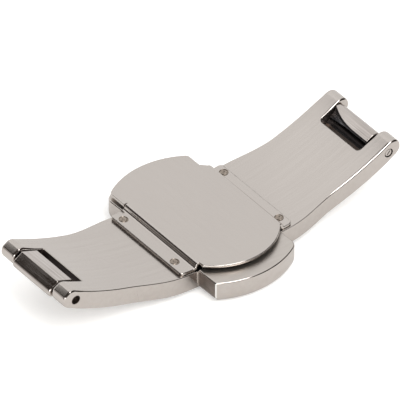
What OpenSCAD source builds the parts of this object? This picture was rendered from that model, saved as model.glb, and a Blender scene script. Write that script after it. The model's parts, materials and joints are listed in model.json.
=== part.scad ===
// Folding clasp for a watch bracelet, closed, wrist side up.
// X runs along the strap, Y across it and Z towards the wrist. The origin is the
// middle of the cover's outer face, on which the closed clasp lies. The modules
// measure Z from the middle of the base plate's wrist face, and placed() lifts them.

/* [Base plate] */
// Radius of the wrist face of each curved arm
arm_radius = 38.5; // [34:0.5:46]
// Half length of the straight stretch in the middle
flat_half = 3.9; // [3:0.1:5]
// Thickness of the base plate
plate_thick = 2.3; // [2.1:0.1:2.8]
// Width of each arm at its end
arm_width = 12; // [11:0.5:14]
// Width of the base plate where the cover holds it
waist_width = 13.7; // [13.5:0.1:15]
// Distance from the middle, along X, at which an arm starts to widen
flare_start = 15; // [13:0.5:18]
// Distance from the middle, along X, at which an arm has its full width
flare_end = 9; // [8:0.5:10]
// Distance from the middle, along X, of each hinge pin
hinge_x = 22.35; // [20:0.25:26]
// Reach of each arm past its hinge pin
tip_reach = 1.8; // [1.7:0.05:2.2]
// Width of the notch in each arm's end
notch_width = 7.3; // [6.8:0.1:8.2]
// Width of the groove that takes the wings
groove_width = 7.2; // [6.7:0.1:8.1]
// Reach of the notch from the hinge pin towards the middle
notch_reach = 2.35; // [2.1:0.05:3]
// Radius of the notch's inner corners
notch_corner = 0.5; // [0.2:0.1:1]
// Thickness left between the groove and the wrist face
web_thick = 0.85; // [0.6:0.05:1]

/* [Inner plate] */
// Thickness of the sheet
sheet_thick = 0.4; // [0.3:0.05:0.5]
// Height of the inner plate's face over the base plate
plate_rise = 1.1; // [1:0.05:1.4]
// Length of the inner plate along X
plate_length = 11.7; // [10.5:0.1:12.5]
// Distance from the middle to the near corners
plate_near = 6.7; // [6.4:0.05:7.5]
// Bulge of the near end past its corners
plate_near_bulge = 2.95; // [1.5:0.05:3.5]
// Distance from the middle to the far corners
plate_far = 9.55; // [9:0.05:9.8]
// Bulge of the far end past its corners
plate_far_bulge = 1.9; // [1:0.1:2]
// Outer radius of the bend down to each flange
bend_radius = 0.5; // [0.45:0.05:0.6]
// Distance from the middle to the end of each flange
flange_reach = 7.95; // [7.9:0.05:8.6]
// Width of each flange
flange_width = 13.3; // [12:0.1:13.4]

/* [Rivets] */
// Diameter of a rivet's shank
rivet_shank = 0.6; // [0.5:0.05:0.8]
// Diameter of a rivet's head
rivet_head = 1.15; // [1:0.05:1.3]
// Height of a rivet's head over the flange
rivet_proud = 0.07; // [0.05:0.01:0.12]
// Depth of a rivet in the base plate
rivet_depth = 1.1; // [0.8:0.1:1.5]
// Distance from the middle, along X, of the rivets
rivet_x = 7.08; // [6.9:0.02:7.2]
// Distance from the middle, along Y, of the two far rivets
rivet_far = 5.35; // [5:0.05:5.5]
// Distance from the middle, along Y, of the left near rivet
rivet_near_left = 4.3; // [4:0.1:5.3]
// Distance from the middle, along Y, of the right near rivet
rivet_near_right = 5.05; // [4:0.05:5.3]

/* [Outer cover] */
// Length of the outer cover along X
cover_length = 11.8; // [10.5:0.1:12]
// Distance from the middle to the cover's corners
cover_corner = 9.85; // [9.2:0.05:11]
// Bulge of each end past its corners
cover_bulge = 1.8; // [1:0.1:2.2]
// Height of the side lobes over the base plate's middle
lobe_rise = 0.3; // [0.1:0.05:0.5]
// Thickness of the floor under the base plate
floor_thick = 0.45; // [0.4:0.05:0.8]
// Radius of the rounding round the outer face
cover_round = 1.3; // [0.8:0.1:1.5]

/* [Cover screws] */
// Diameter of a screw's shank
screw_shank = 1; // [0.8:0.05:1.2]
// Diameter of a screw's head
screw_head = 1.8; // [1.6:0.1:2.2]
// Height of a screw's head
screw_head_high = 0.35; // [0.25:0.05:0.4]
// Width of a screw's slot
screw_slot = 0.25; // [0.2:0.05:0.35]
// Distance of each screw from the middle, along Y
screw_y = 2.1; // [1.8:0.1:2.3]
// Diameter of the boss that takes a screw
boss_wide = 2; // [1.8:0.1:2.4]

/* [Catch spring] */
// Thickness of the spring's strip
spring_thick = 0.2; // [0.15:0.05:0.25]
// Width of the spring's strip
spring_width = 6.4; // [5.5:0.1:6.8]
// Radius of the nose at each end
nose_radius = 0.26; // [0.22:0.01:0.28]
// Half length of the spring's flat seat on the cover
spring_seat = 2.4; // [2:0.1:2.8]
// Length of the spring's level stretch behind each nose
spring_level = 1.05; // [0.8:0.05:1.2]

/* [Hinge pins] */
// Diameter of a hinge pin
pin_wide = 1.15; // [0.9:0.05:1.2]
// Depth of a pin's slotted end below the arm's side
pin_sunk = 0.12; // [0.1:0.02:0.3]
// Depth of a pin's blind end below the arm's side
pin_blind = 1; // [0.5:0.1:1.2]
// Width of a pin's slot
pin_slot = 0.26; // [0.2:0.02:0.4]
// Depth of a pin's slot
pin_slot_deep = 0.8; // [0.4:0.1:1.5]
// Width of the bevel round each pin hole
hole_bevel = 0.12; // [0.08:0.01:0.15]

/* [Wings] */
// Gap between a wing's side and the groove
wing_gap = 0.15; // [0.1:0.05:0.25]
// Gap between a wing and the web over it
web_gap = 0.2; // [0.15:0.05:0.3]
// Radius of the inner top edge of each knuckle
knuckle_edge = 0.15; // [0.1:0.01:0.2]
// Reach of the left knuckle from its hinge pin towards the middle
left_knuckle_reach = 1.1; // [1:0.05:1.4]
// Height of the left knuckle's inner top edge over its hinge pin
left_knuckle_high = 1.15; // [1.1:0.05:1.45]
// Reach of the right knuckle from its hinge pin towards the middle
right_knuckle_reach = 0.75; // [0.7:0.05:1]
// Height of the right knuckle's inner top edge over its hinge pin
right_knuckle_high = 1.2; // [1.2:0.05:1.4]
// Radius of the hollow behind a knuckle
hollow_radius = 0.8; // [0.5:0.1:0.9]
// Gap between the end of a wing and the outer cover
end_gap = 0.4; // [0.35:0.05:0.6]
// Length of the ears past the bar's centre, towards the middle
ear_reach = 1.1; // [0.9:0.05:1.3]
// Length of the fork past the bar's centre, away from the middle
fork_reach = 1.4; // [1.2:0.1:2]
// Radius of the round end of each ear
ear_radius = 0.8; // [0.65:0.05:0.85]
// Depth of the bar's centre below the base plate's middle
bar_drop = 1.9; // [1.8:0.05:2]
// Distance between the two ears of a wing
fork_width = 4.5; // [4:0.1:5]

/* [Spring bars] */
// Diameter of a spring bar's tube
bar_wide = 1.2; // [1:0.05:1.3]
// Wall of the tube
bar_wall = 0.16; // [0.14:0.01:0.2]
// Gap between the tube and each ear
bar_end_gap = 0.1; // [0.05:0.05:0.2]
// Thickness of the tube's turned-in end
bar_lip = 0.3; // [0.2:0.05:0.4]
// Diameter of a tip
tip_wide = 0.6; // [0.5:0.05:0.65]
// Length of a tip in its ear
tip_length = 0.75; // [0.5:0.05:0.9]
// Thickness of the collar that keeps a tip in the tube
collar_thick = 0.25; // [0.2:0.05:0.3]
// Wire of the coil in the tube
coil_wire = 0.13; // [0.1:0.01:0.15]
// Turns of the coil
coil_turns = 8; // [5:1:9]

/* [Fits] */
// Running clearance on a radius
run_gap = 0.03; // [0.02:0.01:0.06]
// Clearance on a radius where a piece is held still
seat_gap = 0.005; // [0.005:0.005:0.01]

/* [Hidden] */
$fn = 72;

polished_steel = "#c9c3be";
brushed_steel = "#bdb7b1";
dark_steel = "#8f8a85";
spring_steel = "#a9a49c";

far_out = 60;
mid_radius = arm_radius + plate_thick / 2;
hinge_angle = asin((hinge_x - flat_half) / mid_radius);
hinge_z = arm_radius - mid_radius * cos(hinge_angle);
end_round = plate_thick / 2;
end_centre = tip_reach - end_round;
wing_width = groove_width - 2 * wing_gap;
wing_top = web_thick + web_gap;
floor_top = -plate_thick;
outer_face = floor_top - floor_thick;
flange_slope = asin((flange_reach - flat_half) / arm_radius);
// Each rivet's place along X and Y; the near left one sits closer in, as on the real plate
rivets = [[-rivet_x, rivet_far], [rivet_x, rivet_far], [-rivet_x, -rivet_near_left],
    [rivet_x, -rivet_near_right]];
// The roundings that each knuckle's outline runs over, from its inner top edge to its underside:
// X and Z from the hinge pin, and radius. The left one has a slanted front, the right one is round
left_knuckle = [
    [knuckle_edge - left_knuckle_reach, left_knuckle_high - knuckle_edge, knuckle_edge],
    [1.1, 0.77, 0.17],
    [1.27, 0.6 - end_round, 0.6]];
right_knuckle = [
    [knuckle_edge - right_knuckle_reach, right_knuckle_high - knuckle_edge, knuckle_edge],
    [-0.05, 0.1, 1.1],
    [0, 1.05 - end_round, 1.05]];
// The bar's centre and the two ends of a wing's fork
wing_end = cover_length / 2 + end_gap;
bar_x = wing_end + ear_reach;
fork_end = bar_x + fork_reach;
// The nose of the catch spring rests in a shallow dent in the end of each wing
nose_in = 0.03;
nose_x = wing_end - nose_radius + nose_in;
nose_z = floor_top + 0.7;
nose_lift = 0.05;
dent_gap = 0.06;
// Small overlap that makes two solids one, and small gap between two that only meet
overlap = 0.01;
slip = 0.02;
bar_half = fork_width / 2 - bar_end_gap;
bar_bore = bar_wide / 2 - bar_wall;
collar_wide = 2 * (bar_bore - run_gap);
collar_out = bar_half - bar_lip - slip;
collar_in = collar_out - collar_thick;
coil_middle = bar_bore - run_gap - coil_wire / 2;

// Depth of a surface of the bowed plate, a given depth under its wrist face, at x
function bowed(x, deep = 0) = abs(x) <= flat_half ? -deep
    : arm_radius - sqrt(pow(arm_radius + deep, 2) - pow(abs(x) - flat_half, 2));
// Radius of an arc from its half chord and its bulge
function arc_radius(half, bulge) = (half * half + bulge * bulge) / (2 * bulge);

// Turns an outline drawn in X and Z into a solid of a given width along Y
module across(wide) {
    rotate([90, 0, 0]) linear_extrude(wide, center = true) children();
}

// Puts its children at the right hinge pin, with X along the arm and Z square to it
module at_hinge() {
    translate([hinge_x, 0, hinge_z]) rotate([0, -hinge_angle, 0]) children();
}
module at_hinge_outline() {
    translate([hinge_x, hinge_z]) rotate(hinge_angle) children();
}

module both_ends() {
    children();
    mirror([1, 0, 0]) children();
}

// Outline in X and Z of the right half of a bowed layer, between two depths, up to an angle
module bowed_outline(from_deep, to_deep, angle) {
    reach = 2 * arm_radius;
    translate([flat_half, arm_radius]) intersection() {
        difference() {
            circle(r = arm_radius + to_deep, $fn = 180);
            circle(r = arm_radius + from_deep, $fn = 180);
        }
        polygon([[0, 0], [0, -reach], [reach * sin(angle), -reach * cos(angle)]]);
    }
    translate([0, -to_deep]) square([flat_half, to_deep - from_deep]);
}

// Outline of one arm from the middle to its round end
module arm_outline() {
    intersection() {
        bowed_outline(0, plate_thick, hinge_angle + 10);
        at_hinge_outline() union() {
            translate([end_centre - far_out, -far_out / 2]) square(far_out);
            translate([end_centre, 0]) circle(r = end_round);
        }
    }
}

// Outline in X and Y of the base plate: straight arms that widen towards the middle
module base_plan() {
    rise = (waist_width - arm_width) / 2;
    flare_radius = arc_radius(flare_start - flare_end, rise);
    difference() {
        square([far_out, waist_width], center = true);
        for (sx = [-1, 1], sy = [-1, 1]) {
            translate([sx * flare_start, sy * (arm_width / 2 + flare_radius)])
                circle(r = flare_radius, $fn = 180);
            translate([sx * (flare_start + far_out / 2), sy * (arm_width + far_out) / 2])
                square(far_out, center = true);
        }
    }
}

// The notch with its round inner corners, measured from the hinge pin along the arm
module notch() {
    deep = 4 * plate_thick;
    start = notch_corner - notch_reach;
    translate([start, -notch_width / 2, -deep / 2]) cube([far_out, notch_width, deep]);
    translate([-notch_reach, notch_corner - notch_width / 2, -deep / 2])
        cube([far_out, notch_width - 2 * notch_corner, deep]);
    for (s = [-1, 1])
        translate([start, s * (notch_width / 2 - notch_corner), 0])
            cylinder(h = deep, r = notch_corner, center = true);
}

module hinge_hole() {
    hole = pin_wide / 2 + seat_gap;
    rotate([90, 0, 0]) cylinder(h = 2 * arm_width, r = hole, center = true);
    for (s = [-1, 1])
        translate([0, s * arm_width / 2, 0]) rotate([90, 0, 0])
            cylinder(h = 2 * hole_bevel, r1 = s > 0 ? hole + 2 * hole_bevel : hole,
                r2 = s > 0 ? hole : hole + 2 * hole_bevel, center = true);
}

module base_plate() color(brushed_steel) difference() {
    intersection() {
        across(2 * waist_width) both_ends() arm_outline();
        translate([0, 0, -far_out / 2]) linear_extrude(far_out) base_plan();
    }
    across(groove_width) both_ends() bowed_outline(web_thick, plate_thick + 1, hinge_angle + 10);
    both_ends() at_hinge() {
        notch();
        hinge_hole();
    }
    for (p = rivets)
        translate([p[0], p[1], bowed(p[0]) - rivet_depth])
            cylinder(h = far_out, r = rivet_shank / 2 + seat_gap);
    for (s = [-1, 1])
        translate([0, s * screw_y, 0])
            cylinder(h = far_out, r = screw_shank / 2 + seat_gap, center = true);
}

// Disc whose edge runs through two corners, half a chord to each side, and bulges past them
module bulged_end(half, corner, bulge) {
    r = arc_radius(half, bulge);
    translate([0, corner + bulge - r]) circle(r = r, $fn = 144);
}

module inner_plan() {
    half = plate_length / 2;
    intersection() {
        translate([-half, -far_out / 2]) square([plate_length, far_out]);
        union() {
            bulged_end(half, plate_far, plate_far_bulge);
            translate([-half, -far_out]) square([plate_length, far_out + plate_far / 2]);
        }
        union() {
            mirror([0, 1]) bulged_end(half, plate_near, plate_near_bulge);
            translate([-half, -plate_near / 2]) square([plate_length, far_out]);
        }
    }
}

// Outline in X and Z of half a flat-topped block with one rounded corner
module bend_block(half, top, r) {
    square([half, top - r]);
    square([half - r, top]);
    translate([half - r, top - r]) circle(r = r);
}

// Outline in X and Z of the right half of the inner plate where it bends to its flange
module flange_outline() {
    half = plate_length / 2;
    intersection() {
        difference() {
            bend_block(half, plate_rise, bend_radius);
            translate([-far_out, -far_out])
                bend_block(far_out + half - sheet_thick, far_out + plate_rise - sheet_thick,
                    bend_radius - sheet_thick);
        }
        translate([flat_half, arm_radius]) circle(r = arm_radius, $fn = 180);
    }
    intersection() {
        bowed_outline(-sheet_thick, 0, flange_slope);
        translate([half - sheet_thick, -far_out / 2]) square(far_out);
    }
}

module inner_plate() color(polished_steel) difference() {
    half = plate_length / 2;
    union() {
        translate([0, 0, plate_rise - sheet_thick]) difference() {
            linear_extrude(sheet_thick) inner_plan();
            for (s = [-1, 1])
                translate([s * half, 0, 0])
                    cube([2 * bend_radius, flange_width, 4 * sheet_thick], center = true);
        }
        across(flange_width) both_ends() flange_outline();
    }
    for (p = rivets)
        translate([p[0], p[1], 0])
            cylinder(h = far_out, r = rivet_shank / 2 + seat_gap, center = true);
}

module inner_plate_rivets() color(dark_steel) for (p = rivets) {
    seat = bowed(p[0], -sheet_thick);
    tilt = asin((abs(p[0]) - flat_half) / arm_radius) * sign(p[0]);
    translate([p[0], p[1], 0]) difference() {
        union() {
            translate([0, 0, bowed(p[0]) - rivet_depth + slip])
                cylinder(h = rivet_depth + sheet_thick, r = rivet_shank / 2);
            translate([0, 0, seat]) rotate([0, -tilt, 0]) cylinder(h = rivet_proud, r = rivet_head / 2);
        }
        translate([0, 0, seat + rivet_proud]) rotate([0, -tilt, 0])
            cylinder(h = rivet_proud, r1 = 0, r2 = rivet_head / 4, center = true);
    }
}

// Disc with its lower edge rounded, for one end of the outer cover
module rounded_disc(r, high) {
    rotate_extrude($fn = 144) {
        square([r - cover_round, high]);
        translate([0, cover_round]) square([r, high - cover_round]);
        intersection() {
            translate([r - cover_round, cover_round]) circle(r = cover_round);
            translate([r - cover_round, 0]) square(cover_round);
        }
    }
}

module cover_block() {
    high = lobe_rise - outer_face;
    half = cover_length / 2;
    r = arc_radius(half, cover_bulge);
    centre = cover_corner + cover_bulge - r;
    intersection() {
        across(far_out) {
            translate([-half, cover_round]) square([cover_length, high - cover_round]);
            translate([cover_round - half, 0]) square([cover_length - 2 * cover_round, high]);
            for (s = [-1, 1])
                translate([s * (half - cover_round), cover_round]) circle(r = cover_round);
        }
        union() {
            translate([0, centre, 0]) rounded_disc(r, high);
            translate([-far_out / 2, centre - far_out, 0]) cube([far_out, far_out, high]);
        }
        union() {
            translate([0, -centre, 0]) rounded_disc(r, high);
            translate([-far_out / 2, -centre, 0]) cube([far_out, far_out, high]);
        }
    }
}

module outer_cover() color(polished_steel) difference() {
    union() {
        difference() {
            translate([0, 0, outer_face]) cover_block();
            translate([-far_out / 2, -waist_width / 2 - seat_gap, floor_top])
                cube([far_out, waist_width + 2 * seat_gap, far_out]);
        }
        for (s = [-1, 1])
            translate([0, s * screw_y, floor_top - overlap])
                cylinder(h = plate_thick - web_thick + overlap, r = boss_wide / 2);
    }
    for (s = [-1, 1])
        translate([0, s * screw_y, floor_top - floor_thick / 3])
            cylinder(h = far_out, r = screw_shank / 2 + seat_gap);
}

module cover_screws() color(dark_steel) for (s = [-1, 1])
    translate([0, s * screw_y, 0]) difference() {
        union() {
            translate([0, 0, floor_top]) cylinder(h = plate_thick, r = screw_shank / 2);
            cylinder(h = screw_head_high, r = screw_head / 2);
        }
        translate([0, 0, screw_head_high])
            cube([screw_head * 2, screw_slot, screw_head_high], center = true);
    }

// A strip of sheet that follows points in X and Z
module strip_outline(points, thick) {
    for (i = [1 : len(points) - 1]) {
        step = points[i] - points[i - 1];
        translate(points[i - 1]) rotate(atan2(step[1], step[0]))
            translate([0, -thick / 2]) square([norm(step), thick]);
        translate(points[i]) circle(r = thick / 2);
    }
}

module catch_spring() color(spring_steel) difference() {
    low = floor_top + spring_thick / 2;
    high = nose_z + 0.3;
    shoulder = nose_x - spring_thick - nose_lift;
    across(spring_width) both_ends() {
        strip_outline([[0, low], [spring_seat, low], [shoulder - spring_level, high],
            [shoulder, high], [nose_x, nose_z + nose_lift]], spring_thick);
        translate([nose_x, nose_z]) circle(r = nose_radius);
    }
    for (s = [-1, 1])
        translate([0, s * screw_y, 0])
            cylinder(h = far_out, r = boss_wide / 2 + run_gap, center = true);
}

// A hinge pin with its slotted end at its own +Y end
module hinge_pin() {
    start = pin_blind - arm_width / 2;
    length = arm_width - pin_blind - pin_sunk;
    color(dark_steel) difference() {
        translate([0, start, 0]) rotate([-90, 0, 0]) cylinder(h = length, r = pin_wide / 2);
        translate([0, start + length, 0])
            cube([pin_slot, 2 * pin_slot_deep, 2 * pin_wide], center = true);
    }
}
module right_hinge_pin() at_hinge() mirror([0, 1, 0]) hinge_pin();
module left_hinge_pin() mirror([1, 0, 0]) at_hinge() hinge_pin();

// Outline in X and Z of a wing, without its fork
module wing_outline(rounds) {
    difference() {
        bowed_outline(wing_top, plate_thick, hinge_angle);
        translate([-1, -far_out / 2]) square([wing_end + 1, far_out]);
    }
    at_hinge_outline() knuckle_outline(rounds);
}

// Direction, in degrees, in which the flat side between two roundings faces
function facing(a, b) = let (step = [b[0] - a[0], b[1] - a[1]])
    atan2(step[1], step[0]) + acos((a[2] - b[2]) / norm(step));
// Points of a rounding from one direction to another, in degrees
function round_points(c, from, to) = let (steps = ceil(abs(from - to) / 5))
    [for (i = [0 : steps]) let (a = from + (to - from) * i / steps)
        [c[0], c[1]] + c[2] * [cos(a), sin(a)]];

// Outline in X and Z of a knuckle, measured from the hinge pin
module knuckle_outline(rounds) {
    skin = end_round - wing_top;
    wall = rounds[0][0] - rounds[0][2];
    root = wall - hollow_radius;
    turns = [180, for (i = [1 : len(rounds) - 1]) facing(rounds[i - 1], rounds[i]), -90];
    polygon([[0, -end_round], each round_points([root, skin + hollow_radius, hollow_radius], 270, 360),
        for (i = [0 : len(rounds) - 1]) each round_points(rounds[i], turns[i], turns[i + 1])]);
}

module wing(rounds) color(polished_steel) difference() {
    union() {
        across(wing_width) wing_outline(rounds);
        translate([bar_x, 0, -bar_drop]) rotate([90, 0, 0])
            cylinder(h = wing_width, r = ear_radius, center = true);
    }
    translate([fork_end - far_out, -fork_width / 2, -far_out / 2])
        cube([far_out, fork_width, far_out]);
    translate([bar_x, 0, -bar_drop]) rotate([90, 0, 0])
        cylinder(h = 2 * wing_width, r = tip_wide / 2 + run_gap, center = true);
    translate([nose_x, 0, nose_z]) rotate([90, 0, 0])
        cylinder(h = 2 * wing_width, r = nose_radius + dent_gap, center = true);
    at_hinge() rotate([90, 0, 0])
        cylinder(h = 2 * wing_width, r = pin_wide / 2 + run_gap, center = true);
}
module right_wing() wing(right_knuckle);
module left_wing() mirror([1, 0, 0]) wing(left_knuckle);

module spring_bar_tube() color(dark_steel) translate([bar_x, 0, -bar_drop]) rotate([90, 0, 0])
    difference() {
        cylinder(h = 2 * bar_half, r = bar_wide / 2, center = true);
        cylinder(h = 2 * (bar_half - bar_lip), r = bar_bore, center = true);
        cylinder(h = 4 * bar_half, r = tip_wide / 2 + run_gap, center = true);
    }
module right_spring_bar_tube() spring_bar_tube();
module left_spring_bar_tube() mirror([1, 0, 0]) spring_bar_tube();

// A tip that points along +Y
module tip() color(polished_steel) translate([bar_x, 0, -bar_drop]) rotate([-90, 0, 0]) {
    translate([0, 0, collar_in]) cylinder(h = collar_thick, r = collar_wide / 2);
    translate([0, 0, collar_in])
        cylinder(h = fork_width / 2 + tip_length - collar_in, r = tip_wide / 2);
}
module right_spring_bar_far_tip() tip();
module right_spring_bar_near_tip() mirror([0, 1, 0]) tip();
module left_spring_bar_far_tip() mirror([1, 0, 0]) tip();
module left_spring_bar_near_tip() mirror([1, 0, 0]) mirror([0, 1, 0]) tip();

// One corner of ring i of a coil along Y
function coil_point(i, k, rings, sides, half) = let (
        turn = 360 * i * coil_turns / rings,
        r = coil_middle + coil_wire / 2 * cos(360 * k / sides))
    [r * cos(turn), half * (2 * i / rings - 1) + coil_wire / 2 * sin(360 * k / sides), r * sin(turn)];

// A coil between the collars of the two tips
module coil() {
    rings = 8 * coil_turns;
    sides = 6;
    half = collar_in - coil_wire / 2 - slip;
    points = [for (i = [0 : rings], k = [0 : sides - 1]) coil_point(i, k, rings, sides, half)];
    walls = [for (i = [0 : rings - 1], k = [0 : sides - 1])
        let (a = i * sides + k, b = i * sides + (k + 1) % sides)
        each [[a, b, b + sides], [a, b + sides, a + sides]]];
    caps = [[for (k = [sides - 1 : -1 : 0]) k], [for (k = [0 : sides - 1]) rings * sides + k]];
    color(spring_steel) translate([bar_x, 0, -bar_drop])
        polyhedron(points, concat(walls, caps), convexity = 10);
}
module right_spring_bar_coil() coil();
module left_spring_bar_coil() mirror([1, 0, 0]) coil();

// Lifts a piece so that the outer face of the cover lies at Z = 0
module placed() translate([0, 0, -outer_face]) children();

placed() base_plate();
placed() inner_plate();
placed() inner_plate_rivets();
placed() outer_cover();
placed() cover_screws();
placed() catch_spring();
placed() left_hinge_pin();
placed() right_hinge_pin();
placed() left_wing();
placed() right_wing();
placed() left_spring_bar_tube();
placed() right_spring_bar_tube();
placed() left_spring_bar_coil();
placed() right_spring_bar_coil();
placed() left_spring_bar_near_tip();
placed() left_spring_bar_far_tip();
placed() right_spring_bar_near_tip();
placed() right_spring_bar_far_tip();
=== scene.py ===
"""Looks of a folding clasp for a watch bracelet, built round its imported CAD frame.

Shapes are drawn in millimetres, in the CAD's own frame: X along the strap, Y across it, Z
towards the wrist, and the cover's outer face at Z = 0. Every finished mesh is in metres.
"""

import json
import math

import bmesh
import bpy
from bpy.props import FloatProperty, FloatVectorProperty, IntProperty, PointerProperty
from mathutils import Matrix, Vector


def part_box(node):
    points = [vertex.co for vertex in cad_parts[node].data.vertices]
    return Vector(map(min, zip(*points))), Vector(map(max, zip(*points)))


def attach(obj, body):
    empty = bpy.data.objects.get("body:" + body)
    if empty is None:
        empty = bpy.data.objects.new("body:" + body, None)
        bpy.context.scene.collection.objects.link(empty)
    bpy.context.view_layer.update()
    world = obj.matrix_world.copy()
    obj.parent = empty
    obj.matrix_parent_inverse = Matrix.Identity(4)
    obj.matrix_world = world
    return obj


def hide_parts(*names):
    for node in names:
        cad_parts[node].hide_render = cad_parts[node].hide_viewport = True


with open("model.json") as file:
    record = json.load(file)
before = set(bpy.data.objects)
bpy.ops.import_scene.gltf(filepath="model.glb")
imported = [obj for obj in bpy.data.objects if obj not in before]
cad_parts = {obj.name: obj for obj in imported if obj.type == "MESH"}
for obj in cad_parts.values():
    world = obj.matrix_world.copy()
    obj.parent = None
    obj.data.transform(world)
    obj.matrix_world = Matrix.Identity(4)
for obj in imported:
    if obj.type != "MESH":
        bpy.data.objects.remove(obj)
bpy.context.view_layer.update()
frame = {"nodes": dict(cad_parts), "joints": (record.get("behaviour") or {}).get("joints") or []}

bl_info = {
    "name": "Folding watch clasp",
    "version": (1, 0, 0),
    "blender": (4, 5, 0),
    "location": "View3D > Sidebar > Clasp",
    "description": "Builds the steel pieces of a folding bracelet clasp round its CAD frame",
    "category": "Mesh",
}

MM = 0.001
SIDES = {"left": -1, "right": 1}
# Blanks and cutters reach past what they cut: across the plate, along X and in height for its
# waist, out from the hinge and up and down for its notches, along X and up for the cover's
# channel, and across and up for the wings
PLATE_CUT = 8.0
WAIST_END, WAIST_HEIGHTS = 30.0, (-2.0, 12.0)
NOTCH_OUT, NOTCH_HEIGHT = 6.0, 4.0
CHANNEL_END, CHANNEL_TOP = 9.0, 5.0
WING_CUT = 9.0
# A gap too small to see
HAIR = 0.005
# Points nearer than this are made one
WELD = 1e-4
# Every rounding has this many faces, and edges sharper than this, in degrees, are rounded
EDGE_SEGMENTS = 4
CREASE = 35.0
# Shares of its normal from which a face is painted as facing one way, sideways, steep or level
FACING, SIDEWAYS, STEEP, LEVEL = 0.9, 0.5, 0.6, 0.8

# Base plate
HINGE = [abs(v) / MM for v in frame["joints"][0]["pos_m"]]
WRIST_FACE = 2.75
FLAT_HALF = 3.9
ARM_RADIUS = 38.5
PLATE_THICK = 2.3
MID_RADIUS = ARM_RADIUS + PLATE_THICK / 2
OUTER_RADIUS = ARM_RADIUS + PLATE_THICK
ARM_CENTRE = Vector((FLAT_HALF, ARM_RADIUS + WRIST_FACE))
HINGE_ANGLE = math.degrees(math.asin((HINGE[0] - FLAT_HALF) / MID_RADIUS))
END_ROUND = PLATE_THICK / 2
END_CENTRE = 0.65
# The left arm's round end is flat between these angles, in degrees from the arm's own way
FRONT_FACE = {"left": (48.0, 10.0)}
ARM_HALF = 6.0
WAIST_HALF = 6.85
FLARE_START, FLARE_END = 15.0, 8.0
GROOVE_HALF = 3.6
# How far each groove runs into its notch, and its cutter out of the plate
GROOVE_OVERLAP, GROOVE_OPEN = 0.35, 1.0
WEB_THICK = 0.85
NOTCH_HALF = 3.65
NOTCH_REACH = 2.35
NOTCH_CORNER = {"left": 0.12, "right": 0.5}
# The part of the plate's rounding that its plain edges get, where along X the near right edge
# grows to all of it, and where along the arm the prongs do
PLATE_LEAST = 0.4
NEAR_EDGE_GROWS = (11.0, 17.0)
PRONG_GROWS = (-0.6, 0.4)
# The walls of notch and bore that get painted shade: how far past the notch's corners, how far in
# from the arm's sides and how near the bore a face may lie
WALL_REACH, BORE_LIP, BORE_REACH = 0.1, 0.2, 0.05

# Hinge pins: how deep their ends sit, their play in the plate and the rounding of their rims
PIN_RADIUS = 0.575
PIN_DEPTH = 0.04
PIN_PLAY = 0.06
PIN_RIM = 0.13
# Their slots: how deep, how long against the pin's width, and how far turned
SLOT_DEPTH = 0.6
SLOT_REACH = 0.55
PIN_TURN = math.radians(42)

# Inner plate
SHEET = 0.4
PLATE_TOP = WRIST_FACE + 1.1
# Half width of the sheet up to the outside of each bend, and beyond the bends at its far end
PLATE_HALF = {"left": 5.85, "right": 6.7}
FAR_HALF = {"left": 5.85, "right": 5.5}
FAR_CORNER, FAR_BULGE = 9.55, 1.9
# The near arc reaches further on the right, so its centre lies off the middle
NEAR_CORNER, NEAR_BULGE = 6.7, 2.95
NEAR_SHIFT = 0.2
# Radii of the bend and of its foot, and how many faces go round them and along the flange, which
# starts this far past them
BEND = 0.5
FOOT = {"left": 0.35, "right": 0.12}
BEND_STEPS, FOOT_STEPS, FLANGE_STEPS = 10, 8, 11
FLANGE_START = 0.05
FLANGE_REACH = 7.95
FLANGE_NEAR, FLANGE_FAR = -6.65, 6.75
FLANGE_CORNER = 0.45
# How much wider the far end of each flange is at its bend, and where along X that fades away
SHOULDER = {"left": (0.15, 6.35, 7.0), "right": (0.2, 6.2, 6.8)}
# The step beside the far left flange, the radius of the sheet's far corners, and how far back the
# slant goes that leads from the far right flange to its corner
RELIEF = 0.05
FAR_ROUND = 0.7
FAR_SLANT = 0.7
# Edges up to this far past the flanges' near ends get all of the rounding, the others this part
SHEET_NEAR = 0.5
SHEET_LEAST = 0.5
RIVETS = [(-7.08, 5.35), (7.25, 5.35), (-7.08, -4.3), (7.25, -5.05)]
# Radius and height of a rivet with a head one unit wide: its punched centre, dome, ring and shank
RIVET_PROFILE = [
    *[(0, 0.012), (0.1, 0.012), (0.16, 0.065), (0.26, 0.085), (0.34, 0.065), (0.39, 0.012)],
    *[(0.42, 0.012), (0.45, 0.05), (0.48, 0.05), (0.5, 0.02), (0.5, -0.06)],
    *[(0.26, -0.06), (0.26, -0.9), (0, -0.9)],
]
RIVET_CREASE = 50

# Outer cover
COVER_HALF = 5.9
COVER_TURN = 1.8
COVER_CORNER, COVER_BULGE = 9.85, 1.8
COVER_TOP = WRIST_FACE + 0.3
FLOOR_THICK = 0.45
COVER_ROUND = 1.3
COVER_LEVELS = 12
CRISP_CORNER = 0.25
# A wall's face gets a painted highlight where it leans both ways by this much and lies this near
# the side
HIGHLIGHT_LEAN, HIGHLIGHT_ZONE = 0.15, 0.5

# Wings and spring bars
WING_HALF = 3.45
WING_TOP = 1.05
WING_END = 6.3
HOLLOW = 0.8
RAMP_LONG, RAMP_DEEP = 0.9, 0.22
# Along the arm from the hinge pin, the brushed part of a wing ends here
BRUSHED_END = -3.6
# How far over its wall the pocket of painted shade beside each knuckle goes, and how high over the
# pin
POCKET_OVER, POCKET_TOP = 0.02, 1.15
# Roundings of each knuckle's outline, from its inner top edge to its underside: distances from
# the hinge pin along the arm and square to it, and radius
KNUCKLES = {
    "left": [(-0.95, 1.0, 0.15), (1.1, 0.77, 0.17), (1.17, -0.45, 0.7)],
    "right": [(-0.85, 1.05, 0.15), (-0.05, 0.1, 1.1), (0.0, -0.1, 1.05)],
}
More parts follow.
